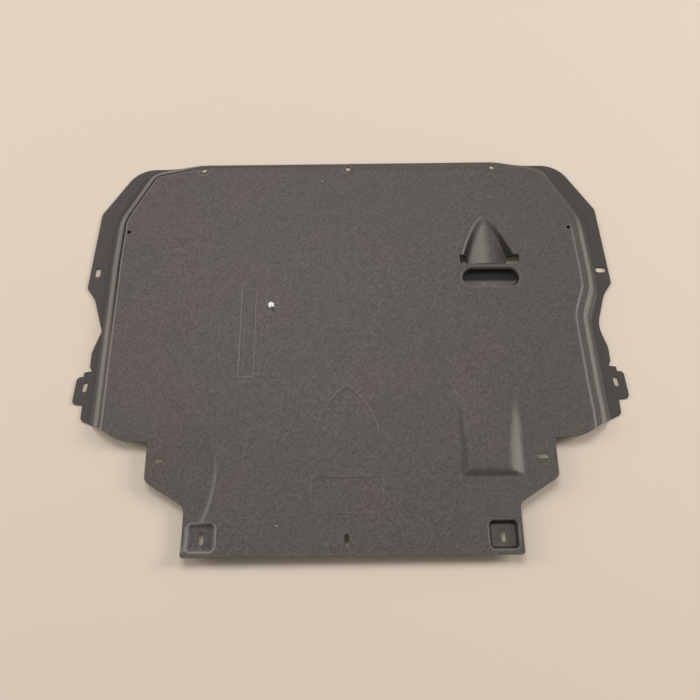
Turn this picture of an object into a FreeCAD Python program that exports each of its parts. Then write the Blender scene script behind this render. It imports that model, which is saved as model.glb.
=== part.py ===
# Engine splash shield: one moulded sheet, road face up, resting on its side flanges.
# X runs across the car, Y runs forwards, Z runs up; the origin is under the middle of the outline.
import os
import math
import FreeCAD, Part
import Sketcher

NODE = "splash_shield"
# Two lengths that differ by less than this are taken as one
NEAR = 1e-4
# The untrimmed forms reach past the outline by this factor, and under the floor by this many walls
STOCK_REACH = 1.35
STOCK_WALLS = 10
# The sides of the raised wedge run on into the panel by this share of its height
WEDGE_ROOT = 1.5

# Every size is set once here, in millimetres or degrees.
SIZES = (
    ("sheet_thick", 3.0, "wall of the moulded sheet"),
    ("slope_rise", 14.5, "height of the broad slope above the flange"),
    ("slope_rake", 44.0, "broad slope, degrees from upright"),
    ("step_rise", 2.5, "height of the small upper step"),
    ("step_rake", 39.0, "small upper step, degrees from upright"),
    ("ledge_inset", 19.0, "slope foot to foot of the small step"),
    ("fold_round", 5.0, "outer radius of the fold above the slope"),
    ("foot_round", 2.5, "inner radius of the fold at the slope foot"),
    ("half_depth", 355.0, "middle to front edge and to rear edge"),
    ("front_corner_x", 385.0, "front corner"),
    ("front_corner_round", 55.0, "front corner radius"),
    ("shoulder_x", 444.0, "corner where the side starts"),
    ("shoulder_y", 257.0, "corner where the side starts"),
    ("shoulder_round", 15.0, "radius of that corner"),
    ("side_end_x", 452.5, "rear end of the long side"),
    ("side_end_y", 107.0, "rear end of the long side"),
    ("side_end_round", 8.0, "radius of that corner"),
    ("bay_front_x", 437.0, "front bend of the side bay"),
    ("bay_front_y", 85.0, "front bend of the side bay"),
    ("bay_x", 418.5, "deepest point of the side bay"),
    ("bay_y", 25.0, "deepest point of the side bay"),
    ("bay_rear_x", 430.5, "rear bend of the side bay"),
    ("bay_rear_y", -15.0, "rear bend of the side bay"),
    ("bay_round_left", 12.0, "bends of the left bay, nearly sharp"),
    ("bay_round_right", 60.0, "bends of the right bay, one long curve"),
    ("nick_x", 426.0, "nick ahead of the side tab"),
    ("nick_y", -48.0, "nick ahead of the side tab"),
    ("nick_long", 8.0, "nick, length of its slanted side"),
    ("ear_x", 438.5, "shoulder of the side tab"),
    ("ear_y", -50.0, "shoulder of the side tab"),
    ("tab_front_x", 449.0, "front corner of the side tab"),
    ("tab_front_y", -58.0, "front corner of the side tab"),
    ("tab_rear_x", 452.5, "rear corner of the side tab"),
    ("tab_rear_y", -106.0, "rear corner of the side tab"),
    ("tab_round", 7.0, "radius of the tab corners"),
    ("flange_end_x", 435.0, "rear corner of the side flange"),
    ("flange_end_y", -133.0, "rear corner of the side flange"),
    ("flange_end_round", 8.0, "radius of that corner"),
    ("heel_x", 411.0, "where the rear edge starts up the slope"),
    ("heel_y", -144.0, "where the rear edge starts up the slope"),
    ("hip_x", 366.0, "bend of the rear edge on the panel"),
    ("hip_y", -173.0, "bend of the rear edge on the panel"),
    ("hip_round", 60.0, "radius of that bend"),
    ("wing_x", 319.5, "side of the rear wing"),
    ("wing_y", -176.0, "front of the rear wing"),
    ("wing_end_y", -238.0, "rear corner of the wing"),
    ("wing_round", 14.0, "radius of the wing corners"),
    ("tail_x", 255.5, "side of the tail"),
    ("tail_y", -278.5, "front of the tail"),
    ("tail_round", 4.0, "radius of the tail corners"),
    ("foot_front_x", 270.0, "slope foot, end of the straight front"),
    ("foot_front_out", 11.5, "slope foot ahead of the front edge"),
    ("foot_corner_x", 361.0, "slope foot, front corner"),
    ("foot_corner_y", 345.5, "slope foot, front corner"),
    ("foot_corner_round", 36.0, "radius of that corner"),
    ("foot_side_x", 415.0, "slope foot, start of the side"),
    ("foot_side_y", 246.0, "slope foot, start of the side"),
    ("foot_side_round", 80.0, "radius of that corner"),
    ("foot_left_x", -417.0, "slope foot along the left side"),
    ("foot_wide_x", 420.0, "slope foot, widest point on the right"),
    ("foot_wide_y", 152.0, "slope foot, widest point on the right"),
    ("jog_front_x", 413.5, "front of the inward jog on the right"),
    ("jog_front_y", 82.0, "front of the inward jog on the right"),
    ("jog_rear_x", 401.0, "rear of the inward jog on the right"),
    ("jog_rear_y", 54.0, "rear of the inward jog on the right"),
    ("jog_round", 34.0, "radius of the jog bends"),
    ("foot_rear_x", 409.0, "slope foot behind the right flange"),
    ("foot_rear_y", -190.0, "slope foot behind the right flange"),
    ("seat_dia", 22.0, "round seat about each front hole"),
    ("front_hole_x", 263.0, "outer front holes from the middle"),
    ("front_hole_in", 13.5, "front holes behind the front edge"),
    ("front_hole_dia", 8.5, "front holes"),
    ("peg_hole_x", 387.0, "small locating holes from the middle"),
    ("peg_hole_y", 210.0, "small locating holes"),
    ("peg_hole_dia", 6.5, "small locating holes"),
    ("flange_slot_x", 438.0, "flange slots from the middle"),
    ("flange_slot_left_y", 138.0, "left flange slot"),
    ("flange_slot_right_y", 133.0, "right flange slot"),
    ("flange_slot_long", 18.0, "flange slots"),
    ("flange_slot_left_wide", 9.0, "left flange slot"),
    ("flange_slot_right_wide", 10.5, "right flange slot"),
    ("tab_slot_x", 434.5, "tab slots from the middle"),
    ("tab_slot_y", -76.0, "tab slots"),
    ("tab_slot_long", 17.0, "tab slots"),
    ("tab_slot_wide", 7.5, "tab slots"),
    ("tab_slot_lean", 7.0, "tab slots, degrees from the Y axis"),
    ("wing_slot_x", 297.0, "wing slots from the middle"),
    ("wing_slot_y", -206.0, "wing slots"),
    ("wing_slot_long", 18.5, "wing slots"),
    ("wing_slot_wide", 7.0, "wing slots"),
    ("pad_x", 227.0, "rear pads from the middle"),
    ("pad_in", 30.0, "rear pads ahead of the rear edge"),
    ("pad_wide", 45.0, "rear pads, mouth across"),
    ("pad_long", 44.0, "rear pads, mouth lengthways"),
    ("pad_round", 9.0, "rear pads, corner radius of the mouth"),
    ("pad_deep", 9.0, "rear pads, depth under the panel"),
    ("pad_rake", 24.0, "rear pads, wall degrees from upright"),
    ("pad_slot_long", 20.5, "slots in the rear pads"),
    ("pad_slot_wide", 7.0, "slots in the rear pads"),
    ("tail_slot_x", -8.0, "rear middle slot"),
    ("tail_slot_in", 23.0, "rear middle slot ahead of the rear edge"),
    ("tail_slot_long", 20.0, "rear middle slot"),
    ("tail_slot_wide", 7.5, "rear middle slot"),
    ("scoop_x", 243.0, "middle line of the air scoop"),
    ("scoop_tip_y", 235.0, "front tip of the scoop ramp"),
    ("scoop_mid_y", 190.0, "middle section of the scoop ramp"),
    ("scoop_end_y", 141.0, "deep end of the scoop ramp"),
    ("scoop_tip_wide", 5.0, "ramp mouth at the tip"),
    ("scoop_mid_wide", 66.0, "ramp mouth at the middle section"),
    ("scoop_end_wide", 101.0, "ramp mouth at the deep end"),
    ("scoop_tip_deep", 0.4, "ramp depth at the tip"),
    ("scoop_mid_deep", 8.0, "ramp depth at the middle section"),
    ("scoop_end_deep", 14.0, "ramp depth at the deep end"),
    ("scoop_rake", 40.0, "ramp side walls, degrees from upright"),
    ("window_wide", 103.0, "air window at the deep end of the ramp"),
    ("window_rear_y", 138.0, "rear side of the air window"),
    ("window_long", 5.5, "air window lengthways, between ramp and panel"),
    ("notch_long", 19.0, "notches at the window's ends"),
    ("notch_left_wide", 13.0, "notch at the window's left end"),
    ("notch_right_wide", 20.0, "notch at the window's right end"),
    ("cup_y", 113.0, "oval cup behind the air window"),
    ("cup_wide", 100.0, "oval cup across"),
    ("cup_long", 38.0, "oval cup lengthways"),
    ("cup_deep", 14.0, "oval cup depth"),
    ("cup_rake", 16.0, "oval cup, wall degrees from upright"),
    ("field_x", -170.0, "bare lettering field"),
    ("field_y", 13.0, "bare lettering field"),
    ("field_wide", 23.0, "bare lettering field"),
    ("field_long", 159.0, "bare lettering field"),
    ("field_deep", 1.0, "bare lettering field"),
    ("dip_x", -305.0, "round dip in the left rear corner"),
    ("dip_y", -220.0, "round dip in the left rear corner"),
    ("dip_radius", 97.0, "round dip in the left rear corner"),
    ("dip_deep", 2.6, "depth at the centre of the dip"),
    ("dip_tilt", 1.5, "floor of the dip, degrees down to the rear"),
    ("wedge_x", 219.0, "raised wedge ahead of the right pad"),
    ("wedge_rear_y", -236.0, "rear foot of the wedge"),
    ("wedge_wide", 97.0, "wedge across at the panel"),
    ("wedge_long", 140.0, "wedge lengthways at the panel"),
    ("wedge_rise", 7.0, "wedge height at its rear"),
    ("wedge_run", 13.0, "width of the wedge's side slopes"),
    ("wedge_tilt", 3.2, "wedge top, degrees down to the front"),
    ("blank_x", -7.0, "blanked inserts of the mould"),
    ("blank_line_wide", 2.4, "witness line of the inserts"),
    ("blank_line_rise", 0.5, "witness line of the inserts"),
    ("arch_wide", 102.0, "arched insert across its base"),
    ("arch_base_y", -187.0, "arched insert, base"),
    ("arch_spring_y", -150.0, "arched insert, foot of its sides"),
    ("arch_tip_y", -71.0, "arched insert, tip"),
    ("plate_y", -263.0, "oblong insert"),
    ("plate_wide", 110.0, "oblong insert across"),
    ("plate_long", 57.0, "oblong insert lengthways"),
    ("plate_round", 8.0, "oblong insert, corner radius"),
)


class Size:
    # A size keeps its formula for the sheet of dimensions and the number it starts from.
    def __init__(self, text, value):
        self.text = text
        self.value = value

    def pair(self, other):
        if isinstance(other, Size):
            return other
        return Size("%.6g" % other, float(other))

    def __add__(self, other):
        other = self.pair(other)
        return Size("(%s + %s)" % (self.text, other.text), self.value + other.value)

    def __sub__(self, other):
        other = self.pair(other)
        return Size("(%s - %s)" % (self.text, other.text), self.value - other.value)

    def __mul__(self, other):
        other = self.pair(other)
        return Size("%s * %s" % (self.text, other.text), self.value * other.value)

    def __truediv__(self, other):
        other = self.pair(other)
        return Size("%s / (%s)" % (self.text, other.text), self.value / other.value)

    def __neg__(self):
        return Size("(0 - %s)" % self.text, -self.value)

    def sine(self):
        return Size("sin(%s)" % self.text, math.sin(math.radians(self.value)))

    def cosine(self):
        return Size("cos(%s)" % self.text, math.cos(math.radians(self.value)))

    def tangent(self):
        return Size("tan(%s)" % self.text, math.tan(math.radians(self.value)))


os.makedirs("parts", exist_ok=True)
doc = FreeCAD.newDocument(NODE)
dims = doc.addObject("Spreadsheet::Sheet", "Dimensions")
size = {}
for row, (alias, value, note) in enumerate(SIZES, 1):
    dims.set("A%d" % row, note)
    dims.set("B%d" % row, "%.6g" % value)
    dims.setAlias("B%d" % row, alias)
    size[alias] = Size("Dimensions." + alias, value)
doc.recompute()
zero = Size("0", 0.0)
right_angle = Size("90", 90.0)
half_right = right_angle / 2
stock_half_x = size["side_end_x"] * STOCK_REACH
stock_half_y = size["half_depth"] * STOCK_REACH
stock_deep = size["sheet_thick"] * STOCK_WALLS
# Places that keep their distance from the front or rear edge
front_hole_y = size["half_depth"] - size["front_hole_in"]
pad_y = size["pad_in"] - size["half_depth"]
tail_slot_y = size["tail_slot_in"] - size["half_depth"]


def new_body(name):
    return doc.addObject("PartDesign::Body", name)


def new_sketch(body, name, role, level):
    # A sketch on one of the body's own origin planes, moved along the plane's normal by a size.
    sketch = body.newObject("Sketcher::SketchObject", name)
    plane = [item for item in body.Origin.OriginFeatures if item.Role == role][0]
    sketch.AttachmentSupport = [(plane, "")]
    sketch.MapMode = "FlatFace"
    sketch.setExpression("AttachmentOffset.Base.z", level.text)
    return sketch


def hold(sketch, kind, refs, amount):
    index = sketch.addConstraint(Sketcher.Constraint(kind, *refs, amount.value))
    sketch.setExpression("Constraints[%d]" % index, amount.text)


def pin(sketch, geo, end, x, y):
    hold(sketch, "DistanceX", (-1, 1, geo, end), x)
    hold(sketch, "DistanceY", (-1, 1, geo, end), y)


def flat(x, y):
    return FreeCAD.Vector(x, y, 0)


def draw_ring(sketch, corners):
    # A closed ring of straight sides; a corner with a radius gets a tangent arc.
    count = len(corners)
    spots = [flat(x.value, y.value) for x, y, radius in corners]
    starts = []
    ends = []
    arcs = []
    for i, (x, y, radius) in enumerate(corners):
        back = (spots[i - 1] - spots[i]).normalize()
        ahead = (spots[(i + 1) % count] - spots[i]).normalize()
        if radius is None:
            ends.append(spots[i])
            starts.append(spots[i])
            arcs.append(None)
            continue
        half = back.getAngle(ahead) / 2
        reach = radius.value / math.tan(half)
        first = spots[i] + back * reach
        last = spots[i] + ahead * reach
        centre = spots[i] + (back + ahead).normalize() * (radius.value / math.sin(half))
        middle = centre + (spots[i] - centre).normalize() * radius.value
        ends.append(first)
        starts.append(last)
        arcs.append(Part.Arc(first, middle, last))
    sides = []
    for i in range(count):
        sides.append(sketch.addGeometry(Part.LineSegment(starts[i], ends[(i + 1) % count])))
    for i, (x, y, radius) in enumerate(corners):
        before = sides[i - 1]
        after = sides[i]
        if radius is None:
            sketch.addConstraint(Sketcher.Constraint("Coincident", before, 2, after, 1))
            pin(sketch, after, 1, x, y)
            continue
        arc = sketch.addGeometry(arcs[i])
        # arcs are stored anticlockwise, so the end that meets the earlier side is looked up
        near = 1 if sketch.getPoint(arc, 1).distanceToPoint(ends[i]) < NEAR else 2
        sketch.addConstraint(Sketcher.Constraint("Tangent", before, 2, arc, near))
        sketch.addConstraint(Sketcher.Constraint("Tangent", arc, 3 - near, after, 1))
        hold(sketch, "Radius", (arc,), radius)
        mark = sketch.addGeometry(Part.Point(spots[i]), True)
        pin(sketch, mark, 1, x, y)
        sketch.addConstraint(Sketcher.Constraint("PointOnObject", mark, 1, before))
        sketch.addConstraint(Sketcher.Constraint("PointOnObject", mark, 1, after))


def draw_box(sketch, x, y, wide, tall, radius=None):
    left = x - wide / 2
    right = x + wide / 2
    low = y - tall / 2
    high = y + tall / 2
    draw_ring(sketch, (
        (left, high, radius),
        (right, high, radius),
        (right, low, radius),
        (left, low, radius),
    ))


def draw_hole(sketch, x, y, dia):
    ring = sketch.addGeometry(Part.Circle(flat(x.value, y.value), FreeCAD.Vector(0, 0, 1), dia.value / 2))
    hold(sketch, "Diameter", (ring,), dia)
    pin(sketch, ring, 3, x, y)


def draw_slot(sketch, x, y, long, wide, lean):
    # Two half rounds joined by two tangent sides; lean is the angle of the slot from the X axis.
    reach_x = (long - wide) / 2 * lean.cosine()
    reach_y = (long - wide) / 2 * lean.sine()
    axis = FreeCAD.Vector(0, 0, 1)
    turn = math.radians(lean.value)
    across = flat(-math.sin(turn), math.cos(turn)) * (wide.value / 2)
    caps = []
    for sign in (1, -1):
        middle = flat(x.value + sign * reach_x.value, y.value + sign * reach_y.value)
        start = turn - sign * math.pi / 2
        round_end = Part.Circle(middle, axis, wide.value / 2)
        caps.append(sketch.addGeometry(Part.ArcOfCircle(round_end, start, start + math.pi)))
    far = flat(x.value + reach_x.value, y.value + reach_y.value)
    near = flat(x.value - reach_x.value, y.value - reach_y.value)
    upper = sketch.addGeometry(Part.LineSegment(far + across, near + across))
    lower = sketch.addGeometry(Part.LineSegment(near - across, far - across))
    for cap, first, second in ((caps[0], lower, upper), (caps[1], upper, lower)):
        sketch.addConstraint(Sketcher.Constraint("Tangent", first, 2, cap, 1))
        sketch.addConstraint(Sketcher.Constraint("Tangent", cap, 2, second, 1))
    hold(sketch, "Radius", (caps[0],), wide / 2)
    sketch.addConstraint(Sketcher.Constraint("Equal", caps[0], caps[1]))
    pin(sketch, caps[0], 3, x + reach_x, y + reach_y)
    pin(sketch, caps[1], 3, x - reach_x, y - reach_y)


def draw_tray(sketch, x, panel, half, deep, rake):
    # A tray section: mouth of the given half width at the panel, raked walls and a flat floor.
    # It opens one wall above the panel, so that nothing is left over its mouth.
    above = size["sheet_thick"]
    top = panel + above
    mouth = half + above * rake.tangent()
    floor = half - deep * rake.tangent()
    draw_ring(sketch, (
        (x - mouth, top, None),
        (x + mouth, top, None),
        (x + floor, panel - deep, None),
        (x - floor, panel - deep, None),
    ))


def set_pose(item, x, y, z, turn):
    # Moves a primitive and turns it about the X axis.
    spot = FreeCAD.Vector(x.value, y.value, z.value)
    item.Placement = FreeCAD.Placement(spot, FreeCAD.Rotation(FreeCAD.Vector(1, 0, 0), turn.value))
    item.setExpression("Placement.Base.x", x.text)
    item.setExpression("Placement.Base.y", y.text)
    item.setExpression("Placement.Base.z", z.text)
    item.setExpression("Placement.Rotation.Angle", turn.text)


def add_feature(body, kind, name, sketch, long, rake=None):
    feature = body.newObject("PartDesign::" + kind, name)
    feature.Profile = sketch
    feature.setExpression("Length", long.text)
    if rake is not None:
        feature.setExpression("TaperAngle", (-rake).text)
    body.Tip = feature
    doc.recompute()


def round_edges(body, name, picked, radius):
    tip = body.Tip
    fillet = body.newObject("PartDesign::Fillet", name)
    fillet.Base = (tip, picked)
    fillet.setExpression("Radius", radius.text)
    body.Tip = fillet
    doc.recompute()


def level_edges(shape, level):
    # Edges of the folds that lie flat at one height, inside the stock.
    picked = []
    reach_x = stock_half_x.value - size["sheet_thick"].value
    reach_y = stock_half_y.value - size["sheet_thick"].value
    for i, edge in enumerate(shape.Edges, 1):
        box = edge.BoundBox
        inside = max(-box.XMin, box.XMax) < reach_x and max(-box.YMin, box.YMax) < reach_y
        level_gap = max(abs(box.ZMin - level.value), abs(box.ZMax - level.value))
        if inside and level_gap < NEAR:
            picked.append("Edge%d" % i)
    return picked


def foot_corners():
    # The line on which the broad slope leaves the flange, closed far behind the rear edge.
    front = size["foot_front_x"]
    front_y = size["half_depth"] + size["foot_front_out"]
    bend = size["foot_corner_x"]
    bend_y = size["foot_corner_y"]
    bend_round = size["foot_corner_round"]
    side = size["foot_side_x"]
    side_y = size["foot_side_y"]
    side_round = size["foot_side_round"]
    far_rear = stock_deep - stock_half_y
    return (
        (-front, front_y, None),
        (front, front_y, None),
        (bend, bend_y, bend_round),
        (side, side_y, side_round),
        (size["foot_wide_x"], size["foot_wide_y"], None),
        (size["jog_front_x"], size["jog_front_y"], size["jog_round"]),
        (size["jog_rear_x"], size["jog_rear_y"], size["jog_round"]),
        (size["foot_rear_x"], size["foot_rear_y"], None),
        (size["foot_rear_x"], far_rear, None),
        (size["foot_left_x"], far_rear, None),
        (size["foot_left_x"], size["foot_wide_y"], None),
        (-side, side_y, side_round),
        (-bend, bend_y, bend_round),
    )


def wall_shift(rake):
    # Sideways move, for each unit of wall, of the mouth of a raked recess on the under face.
    return (half_right - rake / 2).tangent()


def add_wedge(body, tag, panel):
    # A raised wedge that grows out of the panel towards the rear, with three sloping sides.
    wedge = body.newObject("PartDesign::AdditiveWedge", tag + "_wedge")
    root = size["wedge_rise"] * WEDGE_ROOT
    spread = size["wedge_run"] * WEDGE_ROOT
    half = size["wedge_wide"] / 2
    amounts = {
        "Xmin": -(half + spread),
        "Xmax": half + spread,
        "X2min": size["wedge_run"] - half,
        "X2max": half - size["wedge_run"],
        "Ymin": -root,
        "Ymax": size["wedge_rise"],
        "Zmin": -(size["wedge_long"] + spread),
        "Zmax": spread,
        "Z2min": size["wedge_run"] - size["wedge_long"],
        "Z2max": -size["wedge_run"],
    }
    for name, amount in amounts.items():
        setattr(wedge, name, amount.value)
        wedge.setExpression(name, amount.text)
    set_pose(wedge, size["wedge_x"], size["wedge_rear_y"], panel, right_angle - size["wedge_tilt"])
    body.Tip = wedge
    doc.recompute()


def cut_dip(body, tag, panel, drop):
    # The left rear corner sinks inside a round border that fades out towards the front.
    dip = body.newObject("PartDesign::SubtractiveCone", tag + "_dip")
    floor_radius = size["dip_radius"] - size["dip_deep"] + drop * wall_shift(half_right)
    dip.setExpression("Radius1", floor_radius.text)
    dip.setExpression("Radius2", (floor_radius + stock_deep).text)
    dip.setExpression("Height", stock_deep.text)
    set_pose(dip, size["dip_x"], size["dip_y"], panel - size["dip_deep"], size["dip_tilt"])
    body.Tip = dip
    doc.recompute()


def cut_ramp(body, tag, panel, drop):
    # The scoop ramp is a loft through three tray sections that widen and deepen towards the window.
    stations = (
        ("tip", size["scoop_tip_y"] + drop / 2),
        ("mid", size["scoop_mid_y"]),
        ("end", size["scoop_end_y"] - drop),
    )
    rings = []
    for name, y in stations:
        ring = new_sketch(body, tag + "_ramp_" + name, "XZ_Plane", -y)
        half = size["scoop_" + name + "_wide"] / 2 + drop * wall_shift(size["scoop_rake"])
        draw_tray(ring, size["scoop_x"], panel, half, size["scoop_" + name + "_deep"], size["scoop_rake"])
        rings.append(ring)
    ramp = body.newObject("PartDesign::SubtractiveLoft", tag + "_ramp")
    ramp.Profile = rings[0]
    ramp.Sections = rings[1:]
    body.Tip = ramp
    doc.recompute()


def build_form(tag, drop):
    # One face of the sheet as the top of a solid: the road face, or the same face one wall deeper.
    # A raked wall is moved down by the wall over the sine of its rake, so the sheet keeps its wall there.
    body = new_body(tag + "_form")
    flange = size["sheet_thick"] - drop
    ledge = flange + size["slope_rise"]
    panel = ledge + size["step_rise"]

    stock = new_sketch(body, tag + "_stock_sketch", "XY_Plane", -stock_deep)
    draw_box(stock, zero, zero, stock_half_x * 2, stock_half_y * 2)
    add_feature(body, "Pad", tag + "_stock", stock, stock_deep + flange)

    base = size["sheet_thick"] - drop / size["slope_rake"].sine()
    slope = new_sketch(body, tag + "_slope_sketch", "XY_Plane", base)
    draw_ring(slope, foot_corners())
    add_feature(body, "Pad", tag + "_slope", slope, ledge - base, size["slope_rake"])
    # an outward fold loses one wall of radius on the under face, an inward fold gains one
    round_edges(body, tag + "_slope_fold", level_edges(body.Tip.Shape, ledge), size["fold_round"] - drop)
    round_edges(body, tag + "_foot_fold", level_edges(body.Tip.Shape, flange), size["foot_round"] + drop)

    # the small step starts from the same foot line, so far down that it meets the ledge at its inset
    base = size["sheet_thick"] + size["slope_rise"] - size["ledge_inset"] / size["step_rake"].tangent()
    base = base - drop / size["step_rake"].sine()
    step = new_sketch(body, tag + "_step_sketch", "XY_Plane", base)
    draw_ring(step, foot_corners())
    add_feature(body, "Pad", tag + "_step", step, panel - base, size["step_rake"])

    add_wedge(body, tag, panel)
    cut_dip(body, tag, panel, drop)

    # round seats, so each front hole lies flat at the height of the ledge
    seats = new_sketch(body, tag + "_seat_sketch", "XY_Plane", panel)
    for x in (-size["front_hole_x"], zero, size["front_hole_x"]):
        draw_hole(seats, x, front_hole_y, size["seat_dia"] + drop)
    add_feature(body, "Pocket", tag + "_seats", seats, size["step_rise"])

    # two sunken pads at the rear edge
    pads = new_sketch(body, tag + "_pad_sketch", "XY_Plane", panel)
    grow = drop * wall_shift(size["pad_rake"])
    for x in (-size["pad_x"], size["pad_x"]):
        wide = size["pad_wide"] + grow * 2
        long = size["pad_long"] + grow * 2
        draw_box(pads, x, pad_y, wide, long, size["pad_round"] + grow)
    add_feature(body, "Pocket", tag + "_pads", pads, size["pad_deep"], size["pad_rake"])

    # the oval cup behind the air window
    cup = new_sketch(body, tag + "_cup_sketch", "XY_Plane", panel)
    grow = drop * wall_shift(size["cup_rake"])
    wide = size["cup_wide"] + grow * 2
    long = size["cup_long"] + grow * 2
    draw_slot(cup, size["scoop_x"], size["cup_y"], wide, long, zero)
    add_feature(body, "Pocket", tag + "_cup", cup, size["cup_deep"], size["cup_rake"])

    cut_ramp(body, tag, panel, drop)
    return body, panel


def punch(sketch, name):
    # Punches the sketch through the whole height of the trimming tool, both ways from the floor.
    before = trim_form.Shape.Volume
    hole = trim_form.newObject("PartDesign::Pocket", name)
    hole.Profile = sketch
    hole.Type = "ThroughAll"
    hole.Midplane = True
    trim_form.Tip = hole
    doc.recompute()
    if trim_form.Shape.Volume >= before:
        raise RuntimeError("nothing punched: " + name)
    return hole


def side_corners(bay_round):
    # One side of the trimmed outline, from the front corner to the tail corner.
    return [
        (size["front_corner_x"], size["half_depth"], size["front_corner_round"]),
        (size["shoulder_x"], size["shoulder_y"], size["shoulder_round"]),
        (size["side_end_x"], size["side_end_y"], size["side_end_round"]),
        (size["bay_front_x"], size["bay_front_y"], bay_round),
        (size["bay_x"], size["bay_y"], bay_round),
        (size["bay_rear_x"], size["bay_rear_y"], bay_round),
        (size["bay_rear_x"], size["nick_y"] + size["nick_long"], None),
        (size["nick_x"], size["nick_y"], None),
        (size["ear_x"], size["ear_y"], None),
        (size["ear_x"], size["tab_front_y"], None),
        (size["tab_front_x"], size["tab_front_y"], size["tab_round"]),
        (size["tab_rear_x"], size["tab_rear_y"], size["tab_round"]),
        (size["flange_end_x"], size["tab_rear_y"], None),
        (size["flange_end_x"], size["flange_end_y"], size["flange_end_round"]),
        (size["heel_x"], size["heel_y"], None),
        (size["hip_x"], size["hip_y"], size["hip_round"]),
        (size["wing_x"], size["wing_y"], None),
        (size["wing_x"], size["wing_end_y"], size["wing_round"]),
        (size["tail_x"], size["tail_y"], size["wing_round"]),
        (size["tail_x"], -size["half_depth"], size["tail_round"]),
    ]


def outline_corners():
    # The two sides differ only in the bends of their bays.
    right = side_corners(size["bay_round_right"])
    left = [(-x, y, radius) for x, y, radius in reversed(side_corners(size["bay_round_left"]))]
    return right + left


# Road face of the sheet
upper_form, panel_top = build_form("upper", zero)
# Under face of the sheet
lower_form = build_form("lower", size["sheet_thick"])[0]

# Marks on the road face only: the bare lettering field and the witness lines of two blanked inserts
sketch = new_sketch(upper_form, "field_sketch", "XY_Plane", panel_top)
draw_box(sketch, size["field_x"], size["field_y"], size["field_wide"], size["field_long"])
add_feature(upper_form, "Pocket", "field", sketch, size["field_deep"])
sketch = new_sketch(upper_form, "blank_sketch", "XY_Plane", panel_top)
line = size["blank_line_wide"]
for inset in (zero, line):
    wide = size["plate_wide"] - inset * 2
    long = size["plate_long"] - inset * 2
    draw_box(sketch, size["blank_x"], size["plate_y"], wide, long, size["plate_round"] - inset)
    left = size["blank_x"] - size["arch_wide"] / 2 + inset
    right = size["blank_x"] + size["arch_wide"] / 2 - inset
    base = size["arch_base_y"] + inset
    draw_ring(sketch, (
        (left, base, None),
        (left, size["arch_spring_y"], None),
        (size["blank_x"], size["arch_tip_y"] - inset * 2, None),
        (right, size["arch_spring_y"], None),
        (right, base, None),
    ))
add_feature(upper_form, "Pad", "blank_lines", sketch, size["blank_line_rise"])

moulded = doc.addObject("Part::Cut", "moulded_sheet")
moulded.Base = upper_form
moulded.Tool = lower_form
doc.recompute()

# Trimming tool: the outline with every punched hole
trim_form = new_body("trim_form")
sketch = new_sketch(trim_form, "outline_sketch", "XY_Plane", -stock_deep)
draw_ring(sketch, outline_corners())
trim_tall = stock_deep * 3
add_feature(trim_form, "Pad", "outline", sketch, trim_tall)

# Holes and slots that both sides share are punched on the right and mirrored
sketch = new_sketch(trim_form, "pair_sketch", "XY_Plane", zero)
draw_hole(sketch, size["front_hole_x"], front_hole_y, size["front_hole_dia"])
draw_hole(sketch, size["peg_hole_x"], size["peg_hole_y"], size["peg_hole_dia"])
draw_slot(sketch, size["tab_slot_x"], size["tab_slot_y"], size["tab_slot_long"], size["tab_slot_wide"],
          right_angle + size["tab_slot_lean"])
draw_slot(sketch, size["wing_slot_x"], size["wing_slot_y"], size["wing_slot_long"],
          size["wing_slot_wide"], zero)
draw_slot(sketch, size["pad_x"], pad_y, size["pad_slot_long"], size["pad_slot_wide"], right_angle)
pair = punch(sketch, "pair_holes")
mirror = trim_form.newObject("PartDesign::Mirrored", "pair_holes_left")
mirror.Originals = [pair]
mirror.MirrorPlane = (sketch, ["V_Axis"])
trim_form.Tip = mirror
doc.recompute()

# Holes without a twin: the left flange slot runs lengthways, the right one across
sketch = new_sketch(trim_form, "single_sketch", "XY_Plane", zero)
draw_hole(sketch, zero, front_hole_y, size["front_hole_dia"])
draw_slot(sketch, -size["flange_slot_x"], size["flange_slot_left_y"], size["flange_slot_long"],
          size["flange_slot_left_wide"], right_angle)
draw_slot(sketch, size["flange_slot_x"], size["flange_slot_right_y"], size["flange_slot_long"],
          size["flange_slot_right_wide"], zero)
draw_slot(sketch, size["tail_slot_x"], tail_slot_y, size["tail_slot_long"],
          size["tail_slot_wide"], right_angle)
# the air window: a slit between the ramp's end and the panel, with a notch at each end
left = size["scoop_x"] - size["window_wide"] / 2
right = size["scoop_x"] + size["window_wide"] / 2
rear = size["window_rear_y"]
draw_ring(sketch, (
    (left, rear + size["notch_long"], None),
    (left + size["notch_left_wide"], rear + size["notch_long"], None),
    (left + size["notch_left_wide"], rear + size["window_long"], None),
    (right - size["notch_right_wide"], rear + size["window_long"], None),
    (right - size["notch_right_wide"], rear + size["notch_long"], None),
    (right, rear + size["notch_long"], None),
    (right, rear, None),
    (left, rear, None),
))
punch(sketch, "single_holes")

shield = doc.addObject("Part::MultiCommon", NODE)
shield.Shapes = [moulded, trim_form]
shield.Refine = True
doc.recompute()

for item in doc.Objects:
    if "Invalid" in item.State or "Error" in item.State:
        raise RuntimeError("object not built: " + item.Name)
if shield.Shape.isNull() or not shield.Shape.isValid():
    raise RuntimeError("sub-part not valid: " + NODE)
shield.Label = NODE
shield.Shape.exportStep("parts/" + NODE + ".step")
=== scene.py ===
import math
import bpy
import numpy as np
from mathutils import Euler, Matrix, Vector
from mathutils.geometry import delaunay_2d_cdt


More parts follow.
